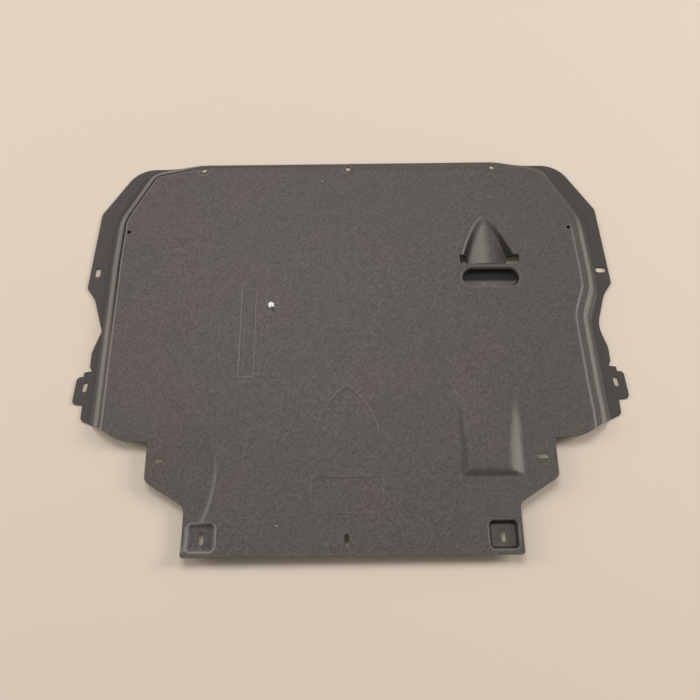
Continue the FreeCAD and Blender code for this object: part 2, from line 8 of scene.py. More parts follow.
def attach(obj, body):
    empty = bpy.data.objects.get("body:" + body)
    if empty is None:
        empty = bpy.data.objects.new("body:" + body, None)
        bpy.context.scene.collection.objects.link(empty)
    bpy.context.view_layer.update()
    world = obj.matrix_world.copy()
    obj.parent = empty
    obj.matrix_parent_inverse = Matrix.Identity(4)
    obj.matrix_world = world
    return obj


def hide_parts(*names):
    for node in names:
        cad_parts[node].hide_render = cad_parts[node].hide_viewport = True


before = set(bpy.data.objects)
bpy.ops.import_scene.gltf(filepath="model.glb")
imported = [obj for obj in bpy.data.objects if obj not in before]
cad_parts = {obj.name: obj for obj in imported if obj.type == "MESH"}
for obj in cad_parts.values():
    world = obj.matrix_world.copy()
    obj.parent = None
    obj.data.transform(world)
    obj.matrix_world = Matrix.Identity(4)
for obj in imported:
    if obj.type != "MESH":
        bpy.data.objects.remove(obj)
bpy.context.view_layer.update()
mm = 0.001  # plan and height sizes below are millimetres, the scene is in metres
chunk = 4000  # points measured at a time
print("frame loaded")


def softPlus(u, blend):
    # zero below -blend, u above blend, a parabola between
    return np.where(u > blend, u, np.maximum(u + blend, 0) ** 2 / (4 * blend))


def softRamp(u, start, end, rise, blend):
    # rises from 0 to rise between start and end, with both bends rounded
    return rise / (end - start) * (softPlus(u - start, blend) - softPlus(u - end, blend))


def softMin(u, v, blend):
    # the lower of the two, with the crease between them rounded
    return 0.5 * (u + v - np.sqrt((u - v) ** 2 + blend * blend))


def roundRing(corners, spacing):
    # closed line of straight sides and tangent corner arcs; only the arcs are sampled
    spots = np.array([corner[:2] for corner in corners], float)
    points = []
    for i, (_, _, radius) in enumerate(corners):
        spot = spots[i]
        back = spots[i - 1] - spot
        ahead = spots[(i + 1) % len(spots)] - spot
        back /= np.hypot(*back)
        ahead /= np.hypot(*ahead)
        half = 0.5 * math.acos(np.clip(back @ ahead, -1, 1))
        reach = radius / math.tan(half)
        middle = spot + (back + ahead) / np.hypot(*(back + ahead)) * radius / math.sin(half)
        first = spot + back * reach - middle
        turn = math.pi - 2 * half
        side = np.sign(back[0] * ahead[1] - back[1] * ahead[0])
        steps = max(2, int(math.ceil(radius * turn / spacing)) + 1)
        angle = -side * np.linspace(0, turn, steps)
        arc = np.stack([first[0] * np.cos(angle) - first[1] * np.sin(angle),
                        first[0] * np.sin(angle) + first[1] * np.cos(angle)], 1)
        points.append(middle + arc)
    return np.concatenate(points)


def densify(ring, spacing):
    # adds points on the sides of a closed ring that are longer than spacing
    ahead = np.roll(ring, -1, 0)
    counts = np.maximum(1, np.ceil(np.hypot(*(ahead - ring).T) / spacing)).astype(int)
    index = np.repeat(np.arange(len(ring)), counts)
    offset = np.arange(len(index)) - np.repeat(np.cumsum(counts) - counts, counts)
    share = (offset / counts[index])[:, None]
    return ring[index] * (1 - share) + ahead[index] * share


def inside(points, ring):
    # even-odd rule, in chunks
    ax, ay = ring.T
    bx, by = np.roll(ring, -1, 0).T
    slope = (bx - ax) / np.where(by == ay, 1, by - ay)
    answers = []
    for part in np.array_split(points, max(1, len(points) // chunk)):
        x, y = part[:, :1], part[:, 1:]
        crossed = ((ay > y) != (by > y)) & (x < ax + (y - ay) * slope)
        answers.append(crossed.sum(1) % 2 == 1)
    return np.concatenate(answers)


def distance(points, ring):
    # distance to the nearest side of a closed ring, in chunks
    run = np.roll(ring, -1, 0) - ring
    square = np.maximum((run ** 2).sum(1), 1e-12)
    answers = []
    for part in np.array_split(points, max(1, len(points) // chunk)):
        gapX = part[:, :1] - ring[:, 0]
        gapY = part[:, 1:] - ring[:, 1]
        share = np.clip((gapX * run[:, 0] + gapY * run[:, 1]) / square, 0, 1)
        near = (gapX - share * run[:, 0]) ** 2 + (gapY - share * run[:, 1]) ** 2
        answers.append(np.sqrt(near.min(1)))
    return np.concatenate(answers)


def boxDepth(x, y, centre, size, radius):
    # signed depth inside a rounded box, positive inside
    outX = np.abs(x - centre[0]) - size[0] / 2 + radius
    outY = np.abs(y - centre[1]) - size[1] / 2 + radius
    past = np.hypot(np.maximum(outX, 0), np.maximum(outY, 0))
    return radius - past - np.minimum(np.maximum(outX, outY), 0)


def boxRing(centre, size, radius):
    signs = ((-1, 1), (1, 1), (1, -1), (-1, -1))
    corners = [(centre[0] + sx * size[0] / 2, centre[1] + sy * size[1] / 2, radius) for sx, sy in signs]
    return roundRing(corners, 1.5)


def slotRing(x, y, long, wide, lean):
    # two half circles about the ends of the slot's middle line
    angle = np.linspace(-math.pi / 2, math.pi / 2, 13)
    cap = np.stack([np.cos(angle), np.sin(angle)], 1) * wide / 2
    shift = np.array([(long - wide) / 2, 0])
    if long == wide:
        cap = cap[:-1]
    ring = np.concatenate([cap + shift, -cap - shift])
    turn = math.radians(lean)
    spin = np.array([[math.cos(turn), math.sin(turn)], [-math.sin(turn), math.cos(turn)]])
    return ring @ spin + (x, y)


# Trimmed outline, one side from the front to the rear: x, y and corner radius; only the bays differ
def outlineSide(bay):
    return [
        (385, 355, 55), (444, 257, 15), (452.5, 107, 8), (437, 85, bay), (418.5, 25, bay),
        (430.5, -15, bay), (430.5, -40, 1.5), (426, -48, 1.5), (438.5, -50, 1.5), (438.5, -58, 1.5),
        (449, -58, 7), (452.5, -106, 7), (435, -106, 2), (435, -133, 8), (411, -144, 8),
        (366, -173, 60), (319.5, -176, 2.5), (319.5, -238, 14), (255.5, -278.5, 14), (255.5, -355, 4),
    ]


outerLine = roundRing(outlineSide(60) + [(-x, y, radius) for x, y, radius in reversed(outlineSide(12))], 2.0)

# Punched holes: centre, length, width and lean of each slot; a round hole is as long as wide
holes = [(0, 341.5, 8.5, 8.5, 0), (-438, 138, 18, 9, 90), (438, 133, 18, 10.5, 0), (-8, -332, 20, 7.5, 90)]
for sign in (-1, 1):
    holes += [
        (sign * 263, 341.5, 8.5, 8.5, 0), (sign * 387, 210, 6.5, 6.5, 0), (sign * 297, -206, 18.5, 7, 0),
        (sign * 434.5, -76, 17, 7.5, 90 + sign * 7), (sign * 227, -325, 20.5, 7, 90),
    ]
# Air window: a slit behind the ramp's end, with a notch at each end
window = [
    (191.5, 157, 1), (204.5, 157, 1), (204.5, 144.5, 1), (274.5, 144.5, 1),
    (274.5, 157, 1), (294.5, 157, 1), (294.5, 138, 1), (191.5, 138, 1),
]
holeLines = [slotRing(*hole) for hole in holes] + [roundRing(window, 1.0)]

# Line on which the broad slope leaves the flange, closed behind the rear edge
slopeFoot = [
    (270, 366.5, 120), (361, 345.5, 36), (418, 236, 80), (424, 122, 60), (424, 88, 34), (406, 36, 34),
    (410, -79, 120), (413, -131, 120), (414, -460, 5), (-416, -460, 5), (-416, 152, 60), (-413, 242, 80),
    (-361, 345.5, 36), (-270, 366.5, 120),
]
footLine = roundRing(slopeFoot, 4.0)

# Flange, broad slope, ledge and step up to the panel; on the right the ledge is wider
form = {
    "thick": 3.0, "slopeRun": 13.5, "slopeRise": 14.5, "slopeSoft": 4.5, "stepRise": 2.5, "stepSoft": 1.0,
    "ledgeLeft": 18.8, "ledgeRight": 24.8, "stepLeft": 4.0, "stepRight": 3.6, "sideBlend": 60,
}
# the step is only a soft roll along the front edge and at the right front corner
roll = {"x": 300, "runX": 60, "y": 200, "runY": 45, "soft": 16.0, "more": 4.0}
groove = {"at": 17.6, "wide": 2.2, "deep": 0.4, "more": 2.4, "frontY": 40, "fadeY": 25}
seats = {"x": 263, "y": 341.5, "radius": 11.0, "soft": 2.0}


def footGap(points):
    # distance from the slope's foot, positive towards the panel
    return distance(points, footLine) * np.where(inside(points, footLine), 1, -1)


def stepHeight(x, y, gap):
    # right runs from 0 on the left side to 1 on the right side
    right = 1 / (1 + np.exp(-x / form["sideBlend"]))
    start = form["ledgeLeft"] + (form["ledgeRight"] - form["ledgeLeft"]) * right
    run = form["stepLeft"] + (form["stepRight"] - form["stepLeft"]) * right
    soft = softRamp(roll["x"] - np.abs(x), 0, roll["runX"], 1.0, roll["soft"]) * (y > roll["y"])
    soft = np.maximum(soft, np.clip((y - roll["y"]) / roll["runY"], 0, 1) * right)
    bend = form["stepSoft"] + right + roll["more"] * soft
    upper = softRamp(gap, start, start + run, form["stepRise"], bend)
    # the groove at the step's foot is deep on the left front alone
    front = (1 - right) / (1 + np.exp((groove["frontY"] - y) / groove["fadeY"]))
    valley = (groove["deep"] + groove["more"] * front) * (1 - soft)
    step = upper - valley * np.exp(-((gap - groove["at"]) / groove["wide"]) ** 2)
    for seatX in (-seats["x"], 0, seats["x"]):
        out = np.hypot(x - seatX, y - seats["y"]) - seats["radius"]
        step = step * softRamp(out, -seats["soft"], seats["soft"], 1.0, seats["soft"])
    return step


# Wedge: the lowest of a top that climbs to the rear and three side slopes
wedge = {
    "left": 170.5, "right": 267.5, "rear": -236, "front": -98, "rise": 7.0, "leftRun": 11.0, "rightRun": 22.0,
    "rearRun": 8.0, "bulge": 1.8, "crease": 0.3, "foot": 1.6,
}


def wedgeHeight(x, y):
    climb = np.clip((wedge["front"] - y) / (wedge["front"] - wedge["rear"] - wedge["rearRun"]), -0.05, 1)
    climb = np.where(climb > 0, 1 - (1 - climb) ** wedge["bulge"], climb)
    along = softMin(climb, (y - wedge["rear"]) / wedge["rearRun"], wedge["crease"])
    leftSide = (x - wedge["left"]) / wedge["leftRun"]
    across = softMin(leftSide, (wedge["right"] - x) / wedge["rightRun"], wedge["crease"])
    return softPlus(softMin(along, across, wedge["crease"]) * wedge["rise"], wedge["foot"])


# Sunken pads in the two rear corners
pads = {"x": 227, "y": -325, "size": (45, 44), "radius": 9, "deep": 9.0, "wall": 4.0, "soft": 2.0}


def padInset(x, y, side):
    return boxDepth(x, y, (side * pads["x"], pads["y"]), pads["size"], pads["radius"])


def padDepth(x, y):
    inset = np.maximum(padInset(x, y, -1), padInset(x, y, 1))
    return softRamp(inset, 0, pads["wall"], pads["deep"], pads["soft"])


# Dip: a tilted floor inside an oval, whose border fades out to the front and stops at the left pad
dip = {
    "x": -305, "y": -220, "radius": 97, "stretch": 1.55, "deep": 2.6, "tilt": 1.5, "soft": 5.0, "edge": 0.8,
    "fadeFrom": 105, "fadeRun": 80, "padSoft": 2.0,
}


def dipDepth(x, y):
    down = dip["y"] - y
    within = dip["radius"] - np.hypot(x - dip["x"], np.where(down > 0, down / dip["stretch"], down))
    floor = dip["deep"] + down * math.tan(math.radians(dip["tilt"]))
    floor = floor * np.clip((down + dip["fadeFrom"]) / dip["fadeRun"], 0, 1)
    floor = floor * softRamp(-padInset(x, y, -1), -dip["padSoft"], dip["padSoft"], 1.0, dip["padSoft"] / 2)
    return floor * (1 - np.exp(-softPlus(within, dip["edge"]) / dip["soft"]))


# Oval cup behind the bridge
cup = {"centre": (243, 113), "size": (100, 38), "radius": 18.9, "deep": 14.0, "wall": 4.0, "soft": 2.0}


def cupInset(x, y):
    return boxDepth(x, y, cup["centre"], cup["size"], cup["radius"])


def cupDepth(x, y):
    return softRamp(cupInset(x, y), 0, cup["wall"], cup["deep"], cup["soft"])


# Scoop: a ramp in the form of a tray, whose floor is crowned as a parabola
scoop = {
    "x": 242, "lean": 3.5, "tip": 233.5, "end": 141, "half": 50.5, "deep": 14.0, "crown": 0.32, "soft": 2.5,
    "wall": 9.0, "wallMore": 4.0,
}


def scoopShape(y):
    # middle, half width, depth and wall width; along runs from 0 at the tip to 1 at the window
    along = np.clip((scoop["tip"] - y) / (scoop["tip"] - scoop["end"]), 0, 1.05)
    middle = scoop["x"] - scoop["lean"] * (1 - along)
    half = scoop["half"] * along ** 0.6
    wall = np.minimum(scoop["wall"] + scoop["wallMore"] * along, 0.6 * half + 0.5)
    return middle, half, scoop["deep"] * along ** 0.9, wall


def scoopDepth(x, y):
    middle, half, deep, wall = scoopShape(y)
    inset = half - np.abs(x - middle)
    across = 1 - np.clip((inset - wall) / np.maximum(half - wall, 1), 0, 1)
    tray = softRamp(inset, 0, wall, 1.0, np.minimum(scoop["soft"], 0.4 * wall))
    tray = tray - scoop["crown"] * (1 - across ** 2)
    return np.where(y > scoop["end"] - 1, deep * tray, 0)


# Shallow marks: the bare lettering field and the lines of two blanked inserts
field = {"centre": (-170, 13), "size": (23, 159), "radius": 1.5, "deep": 1.3, "soft": 0.8}
plate = {
    "centre": (-7, -263), "size": (110, 57), "radius": 8, "rise": 0.75, "wide": 2.0,
    "fadeY": -320, "fadeRun": 60, "faint": 0.6, "sideAt": 46, "sideRun": 8,
}
arch = {"x": -6, "half": 51, "low": -180, "high": -85, "rise": 0.85, "wide": 2.0, "fadeRun": 22}


def archLine():
    # left foot, tip, right foot and the same way back, so that its base stays open
    rise = np.concatenate([np.linspace(0, 1, 40), np.linspace(1, 0, 40)[1:]])
    side = np.concatenate([-np.ones(40), np.ones(39)])
    across = side * arch["half"] * (1 - rise ** 2.1) ** 0.85
    line = np.stack([arch["x"] + across, arch["low"] + rise * (arch["high"] - arch["low"])], 1)
    return np.concatenate([line, line[-2:0:-1]])


def markHeight(points):
    x, y = points.T
    inset = boxDepth(x, y, field["centre"], field["size"], field["radius"])
    z = -softRamp(inset, -field["soft"], field["soft"], field["deep"], field["soft"])
    # the plate's line is stronger on its sides and fainter to the rear
    side = np.clip((np.abs(x - plate["centre"][0]) - plate["sideAt"]) / plate["sideRun"], 0, 1)
    fade = np.clip((y - plate["fadeY"]) / plate["fadeRun"], 0.3, 1)
    fade = fade * (plate["faint"] + (1 - plate["faint"]) * side)
    inset = boxDepth(x, y, plate["centre"], plate["size"], plate["radius"])
    z = z + plate["rise"] * fade * np.exp(-(inset / plate["wide"]) ** 2)
    near = (np.abs(x - arch["x"]) < arch["half"] + 5) & (y > arch["low"] - 5) & (y < arch["high"] + 5)
    fade = np.clip((y[near] - arch["low"]) / arch["fadeRun"], 0, 1)
    z[near] += arch["rise"] * fade * np.exp(-(distance(points[near], archLine()) / arch["wide"]) ** 2)
    return z


# Slackness of the panel: long low waves that die out towards the slope
slack = {"high": 0.22, "from": 22, "to": 70, "soft": 13.0}


def slackHeight(x, y, gap):
    wave = np.sin(x / 71 + 0.6) * np.sin(y / 58 - 0.4) + 0.6 * np.sin(x / 37 - y / 49)
    return slack["high"] * wave * softRamp(np.abs(gap), slack["from"], slack["to"], 1.0, slack["soft"])


def surface(points):
    # height of the road face: flange, slope and step, then what is raised, then what is sunk
    x, y = points.T
    gap = footGap(points)
    z = form["thick"] + softRamp(gap, 0, form["slopeRun"], form["slopeRise"], form["slopeSoft"])
    z = z + stepHeight(x, y, gap) + wedgeHeight(x, y) + markHeight(points) + slackHeight(x, y, gap)
    return z - dipDepth(x, y) - padDepth(x, y) - cupDepth(x, y) - scoopDepth(x, y)


def rows(line, offsets, spacing):
    # rows of points beside a closed clockwise line; a positive offset lies inside
    line = densify(line, spacing)
    ahead = np.roll(line, -1, 0) - np.roll(line, 1, 0)
    length = np.maximum(np.hypot(*ahead.T), 1e-9)[:, None]
    normal = np.stack([ahead[:, 1], -ahead[:, 0]], 1) / length
    return np.concatenate([line + normal * offset for offset in offsets])


# Spacing of the mesh: lattice step, bends that call for the fine and the middle lattice, and least gaps
lattice = {
    "step": 1.6, "halfX": 455, "halfY": 357, "fine": 0.06, "middle": 0.012, "cell": 0.55, "rimGap": 0.9,
    "holeGap": 0.8,
}


def foldPoints():
    # points that follow every fold, so that its edge is drawn clean
    slopeRows = (
        -4, -2, -0.8, 0, 0.8, 2, 5, 9, 12, 13, 13.8, 14.8, 15.8, 16.8, 17.6, 18.4, 19.2, 20.2, 21.4, 22.4,
        23.2, 24, 24.8, 25.6, 26.4, 27.2, 28, 30,
    )
    wallRows = (-2.5, -1, 0, 0.8, 2, 3.2, 4, 5, 7)
    lineRows = (-3.4, -2.3, -1.4, -0.7, 0, 0.7, 1.4, 2.3, 3.4)
    fieldRows = (-2.4, -1.4, -0.6, 0, 0.6, 1.4, 2.4)
    seatRows = (-2, -1, -0.3, 0.4, 1.2, 2.2)
    found = [rows(footLine, slopeRows, 4.0)]
    for padX in (-pads["x"], pads["x"]):
        found.append(rows(boxRing((padX, pads["y"]), pads["size"], pads["radius"]), wallRows, 2.5))
    found.append(rows(boxRing(cup["centre"], cup["size"], cup["radius"]), wallRows, 2.5))
    found.append(rows(boxRing(field["centre"], field["size"], field["radius"]), fieldRows, 3.0))
    found.append(rows(boxRing(plate["centre"], plate["size"], plate["radius"]), lineRows, 3.0))
    found.append(rows(archLine(), lineRows, 3.0))
    seatWide = 2 * seats["radius"]
    for seatX in (-seats["x"], 0, seats["x"]):
        found.append(rows(slotRing(seatX, seats["y"], seatWide, seatWide, 0)[::-1], seatRows, 2.5))
    # the part of the dip's border that shows
    angle = np.linspace(0.8, -1.5, 70)
    bow = np.stack([np.cos(angle), np.sin(angle) * np.where(angle < 0, dip["stretch"], 1)], 1) * dip["radius"]
    for offset in (-2, -0.9, -0.3, 0.3, 0.9, 2, 4, 7):
        found.append(bow * (1 - offset / dip["radius"]) + (dip["x"], dip["y"]))
    # both walls of the scoop and its middle, in front of the window
    y = np.arange(144.6, scoop["tip"], 2.5)
    middle, half, _, wall = scoopShape(y)
    for share in (-0.25, -0.08, 0, 0.1, 0.3, 0.6, 0.85, 1, 1.1, 1.3):
        for side in (-1, 1):
            found.append(np.stack([middle + side * np.maximum(half - share * wall, 0), y], 1))
    found.append(np.stack([middle, y], 1))
    # one point is kept in each small cell
    points = np.concatenate(found)
    _, first = np.unique(np.round(points / lattice["cell"]).astype(int) @ (10007, 1), return_index=True)
    return points[np.sort(first)]


def widen(mask, times):
    # marks the four neighbours of every marked cell, and theirs in turn
    for _ in range(times):
        grown = mask.copy()
        grown[1:] |= mask[:-1]
        grown[:-1] |= mask[1:]
        grown[:, 1:] |= mask[:, :-1]
        grown[:, :-1] |= mask[:, 1:]
        mask = grown
    return mask


def planPoints():
    # the fold points, and between them a lattice that is finer where the form bends
    step = lattice["step"]
    spanX = math.ceil(lattice["halfX"] / step / 4) * 4
    spanY = math.ceil(lattice["halfY"] / step / 4) * 4
    gridX, gridY = np.meshgrid(np.arange(-spanX, spanX + 1), np.arange(-spanY, spanY + 1), indexing="ij")
    points = np.stack([gridX.ravel(), gridY.ravel()], 1) * step
    kept = inside(points, outerLine)
    z = np.zeros(len(points))
    z[kept] = surface(points[kept])
    z = z.reshape(gridX.shape)
    bend = np.zeros_like(z)
    bend[1:-1] += np.abs(z[2:] + z[:-2] - 2 * z[1:-1])
    bend[:, 1:-1] += np.abs(z[:, 2:] + z[:, :-2] - 2 * z[:, 1:-1])
    folds = foldPoints()
    folds = folds[inside(folds, outerLine)]
    taken = np.zeros(gridX.shape, bool)
    cell = np.round(folds / step).astype(int)
    taken[cell[:, 0] + spanX, cell[:, 1] + spanY] = True
    fine = bend > lattice["fine"]
    middle = widen(bend > lattice["middle"], 2) | widen(taken, 3)
    even = (gridX % 2 == 0) & (gridY % 2 == 0)
    fourth = (gridX % 4 == 0) & (gridY % 4 == 0)
    kept &= ((fine | (middle & even) | fourth) & ~widen(taken, 1)).ravel()
    points = np.concatenate([folds, points[kept]])
    clear = distance(points, outerLine) > lattice["rimGap"]
    for line in holeLines:
        near = np.abs(points - line.mean(0)).max(1) < np.ptp(line, 0).max() + 4
        gap = np.full(len(points), np.inf)
        gap[near] = np.where(inside(points[near], line), 0, distance(points[near], line))
        clear &= gap > lattice["holeGap"]
    return points[clear]


def planMesh():
    # triangles in plan between the outline and the holes, all counter-clockwise
    rings = [densify(outerLine, 2.0)] + [densify(line, 1.5) for line in holeLines]
    starts = np.cumsum([0] + [len(ring) for ring in rings])
    edges = []
    for ring, start in zip(rings, starts):
        edges += [(start + i, start + (i + 1) % len(ring)) for i in range(len(ring))]
    plan = np.concatenate(rings + [planPoints()])
    result = delaunay_2d_cdt([Vector(spot) for spot in plan], edges, [], 0, 1e-4)
    plan = np.array([spot[:] for spot in result[0]])
    tris = np.array(result[2])
    middle = plan[tris].mean(1)
    kept = inside(middle, outerLine)
    for line in holeLines:
        kept &= ~inside(middle, line)
    used, tris = np.unique(tris[kept], return_inverse=True)
    tris = tris.reshape(-1, 3)
    plan = plan[used]
    a, b, c = plan[tris].transpose(1, 0, 2)
    area = (b[:, 0] - a[:, 0]) * (c[:, 1] - a[:, 1]) - (b[:, 1] - a[:, 1]) * (c[:, 0] - a[:, 0])
    tris[area < 0] = tris[area < 0][:, ::-1]
    return plan, tris


# Painted shade and highlight of the road face: the box about each form, and where on the cup's floor the
# painted shadow begins and the painted light ends
shadePaint = {
    "scoop": ((243, 165), (112, 150), 5), "dip": ((-255, -215), (140, 190), 5),
    "wedge": ((219, -165), (110, 150), 5), "padSize": (49, 48), "padRadius": 10,
    "cupShadowFrom": 110, "cupLitBefore": 112, "grooveShadeWide": 2.8, "slopeFrom": 2, "slopeRun": 13,
}


def shadeAndHighlightShares(plan, top, steep, lean):
    # shares of painted shade and of painted highlight, 0 to 1; lean is the slope along x
    x, y = plan.T
    sunk = boxDepth(x, y, *shadePaint["scoop"]) > 0
    onDip = boxDepth(x, y, *shadePaint["dip"]) > 0
    onWedge = boxDepth(x, y, *shadePaint["wedge"]) > 0
    leftPad = boxDepth(x, y, (-pads["x"], pads["y"]), shadePaint["padSize"], shadePaint["padRadius"]) > 0
    rightPad = boxDepth(x, y, (pads["x"], pads["y"]), shadePaint["padSize"], shadePaint["padRadius"]) > 0
    cupIn = cupInset(x, y)
    cupFloor = cupIn > cup["wall"] - 1
    corner = np.clip((y - roll["y"]) / roll["runY"], 0, 1) * (x > 0)

    # painted shade: walls of the scoop, the cup and the right pad, a painted shadow on the front of the cup's
    # floor, and painted shade in the left groove
    paintedShade = np.where(sunk, np.minimum(steep, 1), 0) + np.where(rightPad, np.minimum(0.6 * steep, 0.7), 0)
    paintedShade = np.where(cupFloor, np.maximum(0.6 * paintedShade, np.clip((y - shadePaint["cupShadowFrom"]) / 5, 0, 0.8)), paintedShade)
    grooveShade = np.exp(-((footGap(plan) - groove["at"]) / shadePaint["grooveShadeWide"]) ** 2) / (1 + np.exp(x / 40))
    grooveShade = grooveShade / (1 + np.exp((groove["frontY"] - y) / groove["fadeY"]))
    paintedShade = np.maximum(paintedShade, 0.45 * grooveShade)

    # painted highlight: the outer slopes towards their tops, the left pad, the cup's rim, and painted light
    # on the rear of its floor
    paintedHighlight = np.where(sunk | rightPad, 0, np.minimum(steep, 1)) * (1 - grooveShade) * (1 - 0.7 * corner)
    paintedHighlight = paintedHighlight * np.clip((top - shadePaint["slopeFrom"]) / shadePaint["slopeRun"], 0, 1)
    paintedHighlight = np.where(leftPad, np.minimum(0.9 * steep, 1), paintedHighlight)
    paintedHighlight = np.maximum(paintedHighlight, 0.45 * np.exp(-((cupIn + 0.5) / 1.6) ** 2))
    paintedHighlight = np.where(cupFloor & (y < shadePaint["cupLitBefore"]), 0.42, paintedHighlight)

    # on the scoop, painted highlight on the left rim and the left half of the floor, and painted shade on the
    # right half
    middle, half, _, wall = scoopShape(y)
    inset = half - np.abs(x - middle)
    onScoop = sunk & (y > scoop["end"] - 2) & (inset > -4)
    rim = np.exp(-((inset - 0.5) / 2.2) ** 2) * np.where(x < middle, 0.75, 0.3)
    floor = np.clip((inset - wall) / 5, 0, 1)
    litFloor = 0.66 * floor * np.clip((middle - x) / 18 + 0.7, 0, 1)
    shadedFloor = 0.28 * floor * np.clip((x - middle) / 20, 0, 1)
    paintedHighlight = np.where(onScoop, np.maximum(rim, litFloor), paintedHighlight)
    paintedShade = np.where(onScoop, paintedShade * (1 - rim) + shadedFloor, paintedShade)

    # painted highlight on the dip's border and the wedge's right side, and painted shade on the wedge's left
    # side
    paintedHighlight = np.where(onDip & ~leftPad, np.clip(1.3 * lean, 0, 0.55), paintedHighlight)
    paintedHighlight = np.where(onWedge, np.clip(-2.6 * lean, 0, 0.85), paintedHighlight)
    paintedShade = np.where(onWedge, np.clip(0.6 * lean, 0, 0.4), paintedShade)
    return paintedShade, paintedHighlight


def makeSheet():
    plan, tris = planMesh()
    count = len(plan)
    # slope and bend of the form at every point, from four neighbours
    reach = 0.9
    top = surface(plan)
    east, west = surface(plan + (reach, 0)), surface(plan - (reach, 0))
    north, south = surface(plan + (0, reach)), surface(plan - (0, reach))
    steep = np.hypot(east - west, north - south) / (2 * reach)
    # the bend is negative on a ridge and positive in a valley
    fold = (east + west + north + south - 4 * top) / reach ** 2
    paintedShade, paintedHighlight = shadeAndHighlightShares(plan, top, steep, (east - west) / (2 * reach))
    # the under face lies one wall below along the slope, and never under the floor
    low = np.maximum(top - form["thick"] * np.minimum(np.sqrt(1 + steep ** 2), 2.0), 0)
    verts = np.concatenate([np.column_stack([plan, top]), np.column_stack([plan, low])]) * mm

    # the rim joins the two faces along every edge that has one triangle
    sides = np.concatenate([tris[:, [0, 1]], tris[:, [1, 2]], tris[:, [2, 0]]])
    key = np.sort(sides, 1) @ (count, 1)
    _, index, repeats = np.unique(key, return_index=True, return_counts=True)
    rim = sides[index[repeats == 1]]
    quads = np.column_stack([rim[:, 0], rim[:, 0] + count, rim[:, 1] + count, rim[:, 1]])
    loops = np.concatenate([tris.ravel(), (tris[:, ::-1] + count).ravel(), quads.ravel()])
    sizes = np.concatenate([np.full(2 * len(tris), 3), np.full(len(quads), 4)])

    mesh = bpy.data.meshes.new("splashShield")
    mesh.vertices.add(len(verts))
    mesh.vertices.foreach_set("co", verts.astype(np.float32).ravel())
    mesh.loops.add(len(loops))
    mesh.loops.foreach_set("vertex_index", loops.astype(np.int32))
    mesh.polygons.add(len(sizes))
    mesh.polygons.foreach_set("loop_start", (np.cumsum(sizes) - sizes).astype(np.int32))
    mesh.update(calc_edges=True)
    mesh.validate()
    # smooth faces with sharp edges along the rim
    ends = np.empty(2 * len(mesh.edges), np.int32)
    mesh.edges.foreach_get("vertices", ends)
    ends = np.sort(ends.reshape(-1, 2), 1) @ (2 * count, 1)
    upper = np.sort(rim, 1)
    sharp = np.isin(ends, np.concatenate([upper @ (2 * count, 1), (upper + count) @ (2 * count, 1)]))
    mesh.attributes.new("sharp_edge", "BOOLEAN", "EDGE").data.foreach_set("value", sharp)
    mesh.polygons.foreach_set("use_smooth", np.ones(len(mesh.polygons), bool))
    # the material reads the bend, and the painted shade and painted highlight of the road face
    for name, values in (("fold", fold), ("paintedShade", paintedShade), ("paintedHighlight", paintedHighlight)):
        values = np.concatenate([values, np.zeros(count)]).astype(np.float32)
        mesh.attributes.new(name, "FLOAT", "POINT").data.foreach_set("value", values)
    piece = bpy.data.objects.new("splashShield", mesh)
    bpy.context.scene.collection.objects.link(piece)
    print("sheet", len(verts), "points", len(sizes), "faces", "triangles", 2 * len(tris) + 2 * len(quads))
    return piece


class Flow:
    # one output socket, so that shader maths reads as a formula
    def __init__(self, tree, socket):
        self.tree = tree
        self.socket = socket

    def make(self, kind, inputs, output=0, **settings):
        node = self.tree.nodes.new(kind)
        for name, value in settings.items():
            setattr(node, name, value)
        for name, value in inputs.items():
            if isinstance(value, Flow):
                self.tree.links.new(value.socket, node.inputs[name])
            else:
                node.inputs[name].default_value = value
        return Flow(self.tree, node.outputs[output])

    def maths(self, operation, first, second=0.0):
        return self.make("ShaderNodeMath", {0: first, 1: second}, operation=operation)

    def __add__(self, other):
        return self.maths("ADD", self, other)

    def __sub__(self, other):
        return self.maths("SUBTRACT", self, other)

    def __rsub__(self, other):
        return self.maths("SUBTRACT", other, self)

    def __mul__(self, other):
        return self.maths("MULTIPLY", self, other)

    def __truediv__(self, other):
        return self.maths("DIVIDE", self, other)

    def smooth(self, low, high):
        # 0 below low, 1 above high
        inputs = {"Value": self, "From Min": low, "From Max": high, "To Min": 0.0, "To Max": 1.0}
        return self.make("ShaderNodeMapRange", inputs, interpolation_type="SMOOTHSTEP", clamp=True)

    def noise(self, scale, detail=2.0, rough=0.5):
        inputs = {"Vector": self, "Scale": scale, "Detail": detail, "Roughness": rough}
        return self.make("ShaderNodeTexNoise", inputs)

    def turned(self, angle, stretch):
        # the same coordinates turned about Z, then stretched, for strokes
        inputs = {"Vector": self, "Rotation": (0.0, 0.0, angle), "Scale": stretch}
        return self.make("ShaderNodeMapping", inputs, vector_type="TEXTURE")

    def mixed(self, first, second):
        # colour mix with this socket as factor
        inputs = {"Factor": self, 6: first, 7: second}
        return self.make("ShaderNodeMix", inputs, output=2, data_type="RGBA")


def linear(red, green, blue):
    # colour written as 0 to 255 screen values, in the renderer's linear light
    share = np.array([red, green, blue]) / 255
    return (*np.where(share <= 0.04045, share / 12.92, ((share + 0.055) / 1.055) ** 2.4).tolist(), 1.0)


def newMaterial(name):
    material = bpy.data.materials.new(name)
    material.use_nodes = True
    tree = material.node_tree
    shader = tree.nodes["Principled BSDF"]
    place = tree.nodes.new("ShaderNodeTexCoord")
    return material, tree, shader, Flow(tree, place.outputs["Object"])


# The plastic: dark warm grey with a fine mottle, darker flanges, painted highlights on ridges and lit faces,
# painted shade in valleys and recesses, and a white scuff
tones = {
    "dark": (68, 64, 59), "light": (100, 94, 88), "warmDark": (69, 62, 58), "warmLight": (105, 95, 90),
    "flange": (63, 59, 55), "highlightTone": (152, 145, 138), "shadeAndCrack": (26, 25, 25), "white": (236, 232, 226),
}
